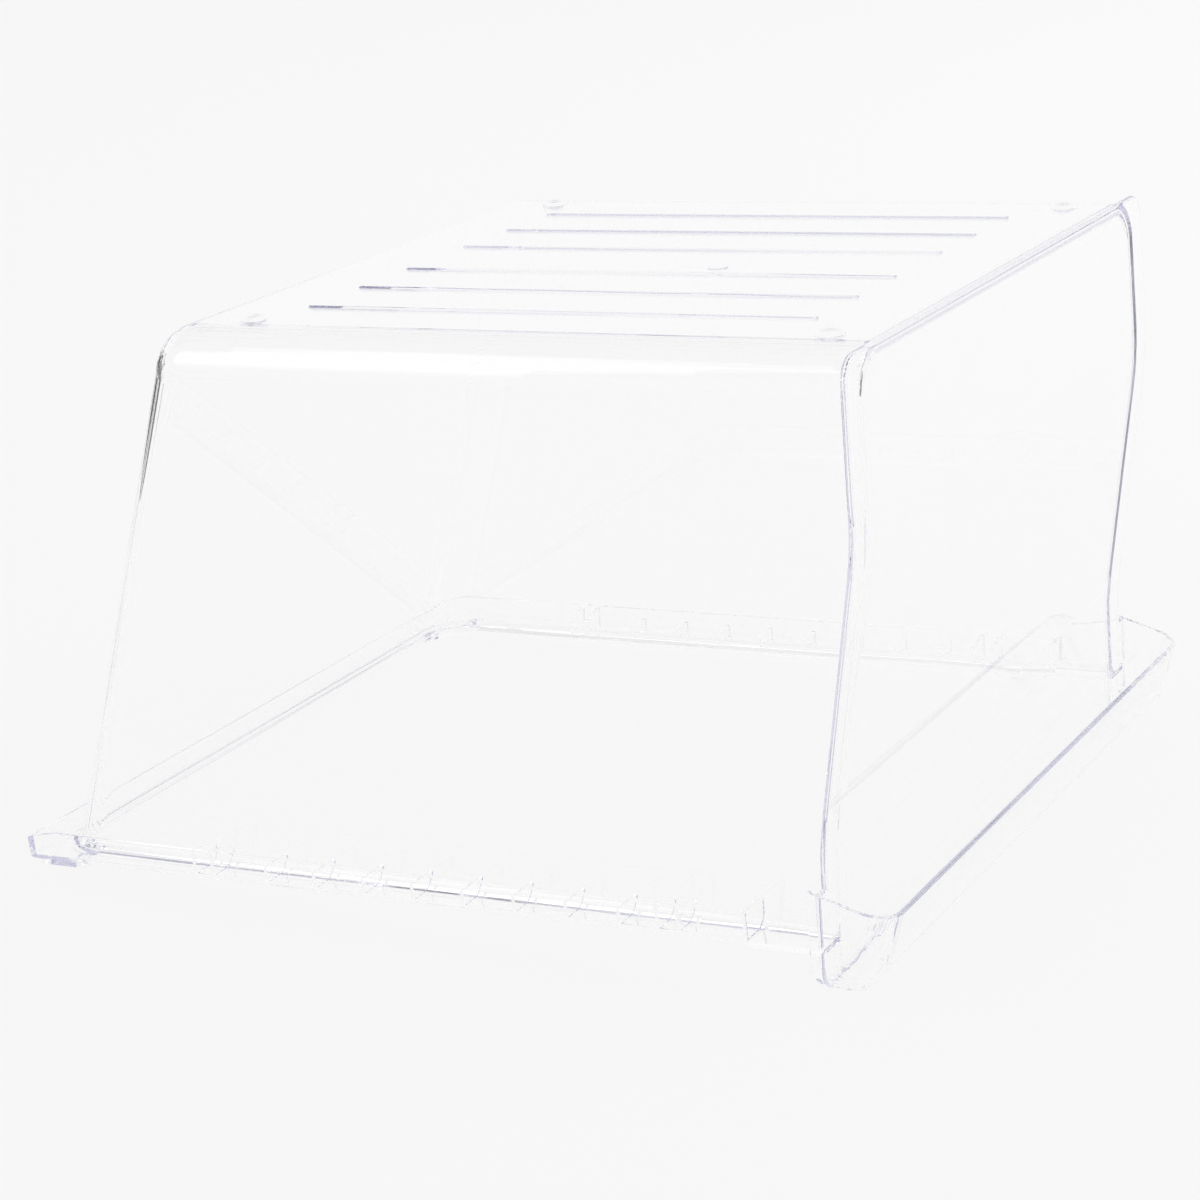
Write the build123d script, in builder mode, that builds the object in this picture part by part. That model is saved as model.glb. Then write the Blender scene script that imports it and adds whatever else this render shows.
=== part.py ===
from build123d import *
import os

# Clear freezer basket, moulded in one piece, lying mouth down.
# Frame: +Z up, +X towards the handle lip, origin on the floor under the middle of the outer box.

# Overall sizes
overall_length = 406.0      # back rim to the front of the handle lip
rim_width = 371.0           # across the side skirts
height = 250.0              # foot of the handle lip to the base plate
wall = 2.2                  # wall of the moulding, the same all over

# Base plate, uppermost as it lies
base_length = 317.5         # between the corners with front and back wall
base_setback = 11.0         # front corner of the base behind the front of the lip
side_round = 20.0           # bend from the base into the side walls
back_round = 19.0           # bend round the outline of the back wall
front_round = 4.0           # hollow round inside, along the outline of the front wall

# Front wall: a panel wider than the body, bent at a knee and at the neck behind the lip
panel_proud = 13.0          # panel stands out past each side wall
panel_corner = 11.0         # upper corners of the panel
panel_edge = 1.5            # rounded front edge of the panel
knee_bulge = 1.0            # knee in front of the base corner
knee_drop = 72.0            # knee below the base
neck_depth = 28.5           # neck behind the front of the lip
neck_height = 60.0          # neck above the floor
front_bend = 150.0          # radius of knee and neck

# Rim along the sides and the back: a flange with an upturned skirt
rim_height = 17.0           # underside of the flange above the floor
skirt_height = 14.0         # edge of the skirt above the underside of the flange
mouth_flare = 4.5           # each side wall leans out by this much, base to flange
side_ledge = 18.0           # side wall at the flange to the outermost line of the skirt
skirt_lean = 1.0            # side skirt leans out
back_ledge = 5.0            # back wall to the outermost line of the back skirt
rim_edge = 3.0              # rounded lower edge of the skirts
wall_root = 6.5             # hollow round between wall and flange
skirt_end = 61.5            # front end of the side skirts behind the front of the lip
lead_in_length = 15.0       # skirts slope down to the back corners over this length
lead_in_drop = 3.0
heel_drop = 2.6             # heels under the back corners
heel_length = 18.0
heel_slope = 7.0

# Handle lip across the front, deeper than the rim, rolled under at its foot
cheek_proud = 2.0           # cheeks stand out past the side skirts
lip_height = 33.0           # front edge of the lip above the floor
lip_lean = 10.0             # front of the lip leans out
lip_corner = 15.0           # plan corner of the lip
lip_roll = 14.0             # rounded foot of the lip
cheek_length = 34.0         # cheek at each end, front to back
cheek_rise = 10.5           # edge of the cheek rises towards the back
cheek_round = 11.0          # back corner of the cheek at its foot

# Gussets and taller stop ribs in the side channels
gusset = 1.6                # thickness of both
gusset_count = 8
gusset_pitch = 23.7
gusset_middle = 2.0         # middle of the row in front of the origin
gusset_drop = 5.0           # below the edge of the skirt
stop_middle = -3.0          # middle of the stop ribs in front of the origin
stop_spread = 219.0         # between the two pairs of stop ribs
stop_gap = 9.0              # between the two ribs of a pair
stop_drop = 4.5             # stop ribs slope down to the wall

# Feet, ribs and moulding point on the base plate
foot_diameter = 12.0
foot_rise = 2.4
foot_inset_front = 22.8     # middle of a front foot behind the front corner of the base
foot_inset_back = 35.7      # middle of a back foot in front of the back corner
foot_inset_side = 28.0      # middle of a foot from the side corner
rib_inset_front = 39.0      # end of a rib behind the front corner of the base
rib_inset_back = 45.5       # end of a rib in front of the back corner
rib_width = 4.0
rib_rise = 0.8
rib_flank = 45.0            # slope of the sides of a rib, in degrees
rib_count = 3               # ribs in each of the two groups
rib_pitch = 41.0            # within a group
rib_spread = 134.0          # between the middles of the two groups
gate_diameter = 9.0
gate_rise = 0.5
gate_forward = 32.8         # moulding point in front of the middle of the base
gate_aside = -13.0

# Places worked out from the sizes
lip_front = overall_length / 2
rim_back = -overall_length / 2
base_front = lip_front - base_setback
base_back = base_front - base_length
base_middle = (base_front + base_back) / 2
rib_middle = base_middle + (rib_inset_back - rib_inset_front) / 2
neck_front = lip_front - neck_depth
skirt_top = rim_height + skirt_height
skirt_front = lip_front - skirt_end
web_back = neck_front - wall
cheek_back = lip_front - cheek_length
half_rim = rim_width / 2
half_flange = half_rim - skirt_lean
half_mouth = half_rim - side_ledge
half_base = half_mouth - mouth_flare
lip_width = rim_width + 2 * cheek_proud
side_slope = mouth_flare / (height - rim_height)
back_slope = (base_back - rim_back - back_ledge) / (height - rim_height)
cheek_top = lip_height + cheek_rise
plug_foot = -2 * lip_height     # the block and its hollow run on below the floor


# Body as a solid block with sharp ends, inset all round or with its sides moved out
def plain_tub(inset, proud, corner):
    half_top = half_base + proud
    half_foot = half_top + side_slope * (height - plug_foot)
    with BuildPart() as block:
        with BuildSketch(Plane.XZ) as side_view:
            with BuildLine():
                Polyline(
                    (base_back - back_slope * (height - plug_foot), plug_foot),
                    (base_back, height),
                    (base_front, height),
                    (base_front + knee_bulge, height - knee_drop),
                    (neck_front, neck_height),
                    (neck_front, plug_foot),
                    close=True,
                )
            make_face()
            fillet(side_view.vertices().sort_by(Axis.Y)[2:4], front_bend)
            offset(amount=-inset, kind=Kind.INTERSECTION)
        extrude(amount=rim_width, both=True)
        with BuildSketch(Plane.YZ) as front_view:
            with BuildLine():
                Polyline(
                    (-half_foot, plug_foot),
                    (-half_top, height),
                    (half_top, height),
                    (half_foot, plug_foot),
                    close=True,
                )
            make_face()
            fillet(front_view.vertices().sort_by(Axis.Y)[2:], corner)
            offset(amount=-inset, kind=Kind.INTERSECTION)
        extrude(amount=overall_length, both=True, mode=Mode.INTERSECT)
    return block.part


# Outline edges of the end of a block that faces one way along X
def end_outline(block, towards):
    end_faces = block.faces().filter_by(
        lambda face: towards * face.normal_at().X > abs(face.normal_at().Z) + abs(face.normal_at().Y)
    )
    top_edge = end_faces.edges().filter_by(Axis.Y).sort_by(Axis.Z)[-1:]
    return end_faces.edges().filter_by(Axis.Y, reverse=True) + top_edge


# Flange and skirts as a solid tray, inset all round
def rim_tray(inset):
    front = skirt_front - inset
    back = rim_back + inset
    levels = (
        (rim_height + inset, half_flange - inset),
        (skirt_top, half_rim - inset),
    )
    with BuildPart() as tray:
        for level, half_width in levels:
            with BuildSketch(Plane.XY.offset(level)):
                with Locations(((front + back) / 2, 0)):
                    Rectangle(front - back, 2 * half_width)
        loft()
        lower = tray.faces().sort_by(Axis.Z)[0]
        fillet(lower.edges().sort_by(Axis.X)[:-1], rim_edge - inset)
    return tray.part


# Handle lip as a solid block, inset at front, sides and foot, running on behind the cheeks
def lip_block(inset):
    back = cheek_back - lip_roll
    levels = (
        (inset, lip_front - lip_lean - inset),
        (cheek_top, lip_front + lip_lean * cheek_rise / lip_height - inset),
    )
    with BuildPart() as block:
        for level, front in levels:
            with BuildSketch(Plane.XY.offset(level)) as plan:
                with Locations(((front + back) / 2, 0)):
                    Rectangle(front - back, lip_width - 2 * inset)
                fillet(plan.vertices().sort_by(Axis.X)[2:], lip_corner - inset)
        loft(ruled=True)
        lower = block.faces().sort_by(Axis.Z)[0]
        fillet(lower.edges().sort_by(Axis.X)[1:], lip_roll - inset)
    return block.part


# Outside of the body, with the wider panel across its front
wide_tub = plain_tub(0, panel_proud, panel_corner)
with BuildPart() as body:
    add(plain_tub(0, 0, side_round))
    fillet(end_outline(body, -1), back_round)
    add(wide_tub - Pos(-wall, 0, 0) * wide_tub)
    fillet(end_outline(body, 1), panel_edge)
outer_block = body.part

# Inside of the body
with BuildPart() as hollow:
    add(plain_tub(wall, 0, side_round))
    fillet(end_outline(hollow, -1), back_round - wall)
    fillet(end_outline(hollow, 1), front_round)

# Skirts on a flange, sloping down to the back corners
with BuildPart() as skirts:
    add(rim_tray(0))
    add(rim_tray(wall), mode=Mode.SUBTRACT)
    with BuildSketch(Plane.XZ):
        with BuildLine():
            Polyline(
                (rim_back, skirt_top),
                (rim_back, skirt_top - lead_in_drop),
                (rim_back + lead_in_length, skirt_top),
                close=True,
            )
        make_face()
    extrude(amount=rim_width, both=True, mode=Mode.SUBTRACT)

# All that lies outside the rim where it has skirts
with BuildPart() as rim_surround:
    with Locations((skirt_front - skirt_lean, 0, rim_height)):
        Box(overall_length, rim_width, skirt_height, align=(Align.MAX, Align.CENTER, Align.MIN))
    add(rim_tray(0), mode=Mode.SUBTRACT)

# Outer shape of the handle lip, its cheeks cut to their outline
with BuildPart() as outer_lip:
    with BuildSketch(Plane.XZ) as cheek_view:
        with BuildLine():
            Polyline(
                (cheek_back, 0),
                (cheek_back, cheek_top),
                (lip_front, lip_height),
                (lip_front, 0),
                close=True,
            )
        make_face()
        fillet(cheek_view.vertices().sort_by(Axis.X)[:2].sort_by(Axis.Y)[0], cheek_round)
    extrude(amount=lip_width, both=True)
    add(lip_block(0), mode=Mode.INTERSECT)

# A web across each end of the lip
with BuildPart() as webs:
    with Locations((web_back, 0, 0)):
        Box(wall, lip_width, cheek_top, align=(Align.MIN, Align.CENTER, Align.MIN))
    add(outer_lip.part, mode=Mode.INTERSECT)

# Handle lip, open towards the base and behind its webs, with the walls carried on down inside it
with BuildPart() as lip:
    add(outer_lip.part)
    add(lip_block(wall), mode=Mode.SUBTRACT)
    add(webs.part)
    add(outer_block & outer_lip.part)

# Gussets and stop ribs across the side channels
gusset_row = [gusset_middle + gusset_pitch * (n - (gusset_count - 1) / 2) for n in range(gusset_count)]
stop_row = [stop_middle + (end * stop_spread + hand * stop_gap) / 2 for end in (-1, 1) for hand in (-1, 1)]
half_root = half_mouth - wall / 2
with BuildPart() as cross_ribs:
    for side in (-1, 1):
        for place in gusset_row + stop_row:
            drop_out, drop_in = (0, stop_drop) if place in stop_row else (gusset_drop, gusset_drop)
            with BuildSketch(Plane.YZ.offset(place - gusset / 2)):
                with BuildLine():
                    Polyline(
                        (side * half_root, rim_height + wall / 2),
                        (side * (half_flange - wall), rim_height + wall / 2),
                        (side * (half_rim - wall / 2), skirt_top - drop_out),
                        (side * half_root, skirt_top - drop_in),
                        close=True,
                    )
                make_face()
            extrude(amount=gusset)

# One foot, a low dome
with BuildPart() as foot:
    with BuildSketch(Plane.XZ):
        with BuildLine():
            RadiusArc(
                (foot_diameter / 2, 0),
                (0, foot_rise),
                -(foot_diameter**2 / 4 + foot_rise**2) / (2 * foot_rise),
            )
            Polyline((0, foot_rise), (0, 0), (foot_diameter / 2, 0))
        make_face()
    revolve(axis=Axis.Z)

with BuildPart() as basket:
    # Walls and base on the flange, which runs on past the skirts
    add(outer_block.split(Plane.XY.offset(rim_height), keep=Keep.TOP))
    with BuildSketch(Plane.XY.offset(rim_height)):
        with BuildLine():
            Polyline(
                (rim_back - wall_root, -half_flange),
                (skirt_front - skirt_lean, -half_flange),
                (skirt_front, -half_rim),
                (web_back, -half_rim),
                (web_back, half_rim),
                (skirt_front, half_rim),
                (skirt_front - skirt_lean, half_flange),
                (rim_back - wall_root, half_flange),
                close=True,
            )
        make_face()
    extrude(amount=wall)
    flange_faces = basket.faces().filter_by(Axis.Z).group_by(Axis.Z)[1]
    roots = flange_faces.edges().filter_by(
        lambda edge: edge.center().X > rim_back and abs(edge.center().Y) < half_mouth
    )
    fillet(roots, wall_root)
    add(rim_surround.part, mode=Mode.SUBTRACT)
    add(skirts.part)

    # Heels under the back corners
    with BuildSketch(Plane.XZ):
        heel_back = rim_back + rim_edge
        with BuildLine():
            Polyline(
                (heel_back, rim_height),
                (heel_back, rim_height - heel_drop),
                (heel_back + heel_length, rim_height - heel_drop),
                (heel_back + heel_length + heel_slope, rim_height),
                close=True,
            )
        make_face()
    extrude(amount=half_flange - rim_edge, both=True)

    add(lip.part)
    add(hollow.part, mode=Mode.SUBTRACT)
    add(cross_ribs.part)

    # Base plate
    with BuildSketch(Plane.XY.offset(height)):
        with Locations((rib_middle, -rib_spread / 2), (rib_middle, rib_spread / 2)):
            with GridLocations(0, rib_pitch, 1, rib_count):
                SlotOverall(base_length - rib_inset_front - rib_inset_back, rib_width)
    extrude(amount=rib_rise, taper=rib_flank)
    with BuildSketch(Plane.XY.offset(height)):
        with Locations((base_middle + gate_forward, gate_aside)):
            Circle(gate_diameter / 2)
    extrude(amount=gate_rise)
    foot_side = half_base - foot_inset_side
    for foot_place in (base_front - foot_inset_front, base_back + foot_inset_back):
        with Locations((foot_place, -foot_side, height), (foot_place, foot_side, height)):
            add(foot.part)

basket.part.label = "basket"
os.makedirs("parts", exist_ok=True)
export_step(basket.part, "parts/basket.step")
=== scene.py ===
import math
import bpy
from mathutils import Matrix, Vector


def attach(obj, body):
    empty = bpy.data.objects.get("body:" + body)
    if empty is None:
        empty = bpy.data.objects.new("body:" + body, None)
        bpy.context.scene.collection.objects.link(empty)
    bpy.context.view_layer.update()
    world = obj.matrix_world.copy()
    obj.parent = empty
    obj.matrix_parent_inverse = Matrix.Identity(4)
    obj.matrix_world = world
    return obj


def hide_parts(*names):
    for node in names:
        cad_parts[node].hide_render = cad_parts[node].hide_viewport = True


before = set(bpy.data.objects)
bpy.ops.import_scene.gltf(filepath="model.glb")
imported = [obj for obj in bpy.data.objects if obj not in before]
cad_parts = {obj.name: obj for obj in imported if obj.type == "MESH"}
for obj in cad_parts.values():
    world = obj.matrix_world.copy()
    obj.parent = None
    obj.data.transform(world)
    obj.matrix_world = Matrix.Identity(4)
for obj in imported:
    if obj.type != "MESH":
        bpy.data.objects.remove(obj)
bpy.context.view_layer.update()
scene = bpy.context.scene
print("frame loaded")


def hexToLinear(code):
    steps = [int(code[i:i + 2], 16) / 255 for i in (1, 3, 5)]
    return [s / 12.92 if s <= 0.04045 else ((s + 0.055) / 1.055) ** 2.4 for s in steps] + [1.0]


def addNode(tree, kind, values=None, links=None, **settings):
    node = tree.nodes.new(kind)
    for name, value in settings.items():
        setattr(node, name, value)
    for name, value in (values or {}).items():
        node.inputs[name].default_value = value
    for name, source in (links or {}).items():
        tree.links.new(source, node.inputs[name])
    return node


# clear polystyrene, injection moulded in a polished mould: water clear through the wall,
# violet-grey where the eye looks along it, with the slight ripple of a large thin moulding
clearPlastic = {
    "colour": "#ffffff",
    "ior": 1.59,
    "roughness": 0.0,
    "depthTint": "#7c7ac8",
    "depthDensity": 0.9,        # per metre, shows only along the wall
    "shadowTint": "#f9f9f8",    # light let through each face to the floor
    "rippleSize": 0.060,        # metres between ripples
    "rippleDepth": 0.00002,     # metres
}


def makeClearPlastic(v):
    material = bpy.data.materials.new("clear polystyrene, moulded")
    material.use_nodes = True
    tree = material.node_tree
    tree.nodes.clear()
    place = addNode(tree, "ShaderNodeTexCoord")
    ripple = addNode(tree, "ShaderNodeTexNoise", {
        "Scale": 1 / v["rippleSize"],
        "Detail": 1.0,
    }, {"Vector": place.outputs["Object"]})
    bump = addNode(tree, "ShaderNodeBump", {
        "Strength": 1.0,
        "Distance": v["rippleDepth"],
    }, {"Height": ripple.outputs["Fac"]})
    plastic = addNode(tree, "ShaderNodeBsdfPrincipled", {
        "Base Color": hexToLinear(v["colour"]),
        "Roughness": v["roughness"],
        "IOR": v["ior"],
        "Transmission Weight": 1.0,
    }, {"Normal": bump.outputs["Normal"]})
    depth = addNode(tree, "ShaderNodeVolumeAbsorption", {
        "Color": hexToLinear(v["depthTint"]),
        "Density": v["depthDensity"],
    })
    clear = addNode(tree, "ShaderNodeBsdfTransparent", {"Color": hexToLinear(v["shadowTint"])})
    ray = addNode(tree, "ShaderNodeLightPath")
    wall = addNode(tree, "ShaderNodeMixShader", None, {     # lamps shine through to the floor
        0: ray.outputs["Is Shadow Ray"],
        1: plastic.outputs["BSDF"],
        2: clear.outputs["BSDF"],
    })
    addNode(tree, "ShaderNodeOutputMaterial", None, {
        "Surface": wall.outputs["Shader"],
        "Volume": depth.outputs["Volume"],
    })
    return material


# the basket: the CAD solid, joined up, smooth over its bends and flat on its walls
basketShade = {
    "mergeGap": 0.00001,        # metres
    "flatWidth": 0.004,         # metres, faces broader than this keep a sharp border
    "flatAngle": 0.5,           # degrees, still one flat face
    "smoothAngle": 7,           # degrees, so only slow bends are smoothed
    "areaWeight": 50,
}

bpy.ops.object.select_all(action="DESELECT")
basket = bpy.data.objects.new("basketMoulding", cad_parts["basket"].data.copy())
scene.collection.objects.link(basket)
basket.select_set(True)
bpy.context.view_layer.objects.active = basket
bpy.ops.object.mode_set(mode="EDIT")
bpy.ops.mesh.select_all(action="SELECT")
bpy.ops.mesh.remove_doubles(threshold=basketShade["mergeGap"])
bpy.ops.object.mode_set(mode="OBJECT")
bpy.ops.object.shade_smooth_by_angle(angle=math.radians(basketShade["smoothAngle"]))
for face in basket.data.polygons:
    corners = [basket.data.vertices[i].co for i in face.vertices]
    longest = max((corners[i] - corners[i - 1]).length for i in range(len(corners)))
    face.select = 2 * face.area / longest > basketShade["flatWidth"]
bpy.ops.object.mode_set(mode="EDIT")
bpy.ops.mesh.select_mode(type="FACE")
bpy.ops.mesh.faces_select_linked_flat(sharpness=math.radians(basketShade["flatAngle"]))
bpy.ops.mesh.region_to_loop()
bpy.ops.mesh.mark_sharp()
bpy.ops.object.mode_set(mode="OBJECT")
weight = basket.modifiers.new("flat walls stay flat", "WEIGHTED_NORMAL")
weight.keep_sharp = True
weight.weight = basketShade["areaWeight"]
bpy.ops.object.modifier_apply(modifier=weight.name)
basket.data.materials.clear()
basket.data.materials.append(makeClearPlastic(clearPlastic))
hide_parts("basket")
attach(basket, "root")
basket.visible_diffuse = False  # light scattered by the floor passes it
print("basket", len(basket.data.polygons), "faces")

# floor sheet, laid under the lip and the two heels, which the basket rests on:
# matt white paper, so it shows no gloss
floorSheet = {
    "colour": "#f6f6f6",
    "roughness": 0.9,
    "size": 14.0,                   # metres
    "lipFoot": (0.181, 0.0),        # x and z in metres where the lip stands
    "heelFoot": (-0.200, 0.0144),   # x and z where the heels stand
    "clearance": 0.0002,            # metres
}
bpy.ops.object.select_all(action="DESELECT")
run = floorSheet["lipFoot"][0] - floorSheet["heelFoot"][0]
rise = floorSheet["heelFoot"][1] - floorSheet["lipFoot"][1]
tilt = math.atan2(rise, run)
bpy.ops.mesh.primitive_plane_add(
    size=floorSheet["size"],
    location=(floorSheet["lipFoot"][0], 0, -floorSheet["clearance"]),
    rotation=(0, tilt, 0))
floor = bpy.context.active_object
floor.name = "floorSheet"
bpy.ops.object.transform_apply(location=True, rotation=True, scale=True)
paper = bpy.data.materials.new("paper, matt white")
paper.use_nodes = True
paperShader = paper.node_tree.nodes["Principled BSDF"]
paperShader.inputs["Base Color"].default_value = hexToLinear(floorSheet["colour"])
paperShader.inputs["Roughness"].default_value = floorSheet["roughness"]
paperShader.inputs["Specular IOR Level"].default_value = 0.0
floor.data.materials.append(paper)
print("floor tilted", round(math.degrees(tilt), 2))

# low black card out of the frame at the left, which draws the dark line down the near-left corner:
# matt card, so it shows as an even dark grey
sideCard = {
    "colour": "#484848",
    "roughness": 0.9,
    "place": (-1.261, 0.314, 0.16),     # metres
    "turn": 76,                         # degrees, to face the basket
    "size": (0.55, 0.32),               # metres
}
bpy.ops.object.select_all(action="DESELECT")
bpy.ops.mesh.primitive_plane_add(
    size=1,
    location=sideCard["place"],
    rotation=(math.radians(90), 0, math.radians(sideCard["turn"])))
card = bpy.context.active_object
card.name = "sideCard"
bpy.ops.transform.resize(value=(sideCard["size"][0], sideCard["size"][1], 1), orient_type="LOCAL")
bpy.ops.object.transform_apply(location=True, rotation=True, scale=True)
cardStock = bpy.data.materials.new("card, matt black")
cardStock.use_nodes = True
cardShader = cardStock.node_tree.nodes["Principled BSDF"]
cardShader.inputs["Base Color"].default_value = hexToLinear(sideCard["colour"])
cardShader.inputs["Roughness"].default_value = sideCard["roughness"]
card.data.materials.append(cardStock)
card.visible_camera = False         # only the plastic shows it
card.visible_diffuse = False
card.visible_shadow = False
print("card", [round(d, 3) for d in card.dimensions])

# studio: a white surround that darkens overhead and is even where it lights the floor,
# a softbox at the left for the long highlight, and a fill over the far floor
studio = {
    "low": "#ffffff",
    "high": "#ececec",
    "climb": (0.25, 0.85),      # how far up the surround starts and ends darkening, 1 is overhead
    "strength": 0.965,          # what the plastic shows
    "floorStrength": 0.995,     # what lights the floor
    "softboxPlace": (-0.585, -0.80, 0.94),
    "softboxAim": (-0.065, -0.165, 0.24),
    "softboxSize": (0.46, 0.78),
    "softboxPower": 0.75,       # watts
    "fillPlace": (3.2, 2.6, 2.6),
    "fillAim": (0.6, 2.4, 0.0),
    "fillSize": (1.6, 1.6),
    "fillPower": 16.0,          # watts
}
world = bpy.data.worlds.new("studio surround")
scene.world = world
world.use_nodes = True
sky = world.node_tree
sky.nodes.clear()
direction = addNode(sky, "ShaderNodeTexCoord")
axes = addNode(sky, "ShaderNodeSeparateXYZ", None, {"Vector": direction.outputs["Generated"]})
climb = addNode(sky, "ShaderNodeMapRange", {
    "From Min": studio["climb"][0],
    "From Max": studio["climb"][1],
    "To Min": 0.0,
    "To Max": 1.0,
}, {"Value": axes.outputs["Z"]}, interpolation_type="SMOOTHSTEP")
ramp = addNode(sky, "ShaderNodeValToRGB", None, {"Fac": climb.outputs["Result"]})
ramp.color_ramp.elements[0].color = hexToLinear(studio["low"])
ramp.color_ramp.elements[1].color = hexToLinear(studio["high"])
surround = addNode(sky, "ShaderNodeBackground", {
    "Strength": studio["strength"],
}, {"Color": ramp.outputs["Color"]})
even = addNode(sky, "ShaderNodeBackground", {
    "Color": hexToLinear(studio["low"]),
    "Strength": studio["floorStrength"],
})
ray = addNode(sky, "ShaderNodeLightPath")
fromFloor = addNode(sky, "ShaderNodeMath", {1: 0.5}, {
    0: ray.outputs["Diffuse Depth"],
}, operation="GREATER_THAN")
pick = addNode(sky, "ShaderNodeMixShader", None, {
    0: fromFloor.outputs["Value"],
    1: surround.outputs["Background"],
    2: even.outputs["Background"],
})
addNode(sky, "ShaderNodeOutputWorld", None, {"Surface": pick.outputs["Shader"]})


def addLamp(name, onFloor):
    place, aim = Vector(studio[name + "Place"]), Vector(studio[name + "Aim"])
    data = bpy.data.lights.new(name, "AREA")
    data.shape = "RECTANGLE"
    data.size, data.size_y = studio[name + "Size"]
    data.energy = studio[name + "Power"]
    lamp = bpy.data.objects.new(name, data)
    scene.collection.objects.link(lamp)
    lamp.location = place
    lamp.visible_diffuse = onFloor
    lamp.rotation_euler = (aim - place).to_track_quat("-Z", "Y").to_euler()


addLamp("softbox", onFloor=False)   # kept off the floor, which it would whiten at the left
addLamp("fill", onFloor=True)
print("studio lit")

# camera, at the photograph's angle
viewpoint = {
    "place": (0.644937, -1.227913, 0.496356),   # metres
    "turn": (73.8203, 4.3216, 26.8239),         # degrees
    "lens": 95.931,                             # millimetres
    "sensor": 36.0,                             # millimetres
}
cameraData = bpy.data.cameras.new("camera")
cameraData.lens = viewpoint["lens"]
cameraData.sensor_width = viewpoint["sensor"]
camera = bpy.data.objects.new("camera", cameraData)
scene.collection.objects.link(camera)
camera.location = viewpoint["place"]
camera.rotation_euler = [math.radians(a) for a in viewpoint["turn"]]
scene.camera = camera
scene.view_settings.view_transform = "Standard"

# light paths: many bounces, because light runs a long way inside the walls
lightPaths = {
    "inPlastic": 256,
    "offFloor": 1,
    "straightThrough": 40,
}
scene.cycles.max_bounces = lightPaths["inPlastic"]
scene.cycles.transmission_bounces = lightPaths["inPlastic"]
scene.cycles.glossy_bounces = lightPaths["inPlastic"]
scene.cycles.diffuse_bounces = lightPaths["offFloor"]
scene.cycles.transparent_max_bounces = lightPaths["straightThrough"]
print("camera set")
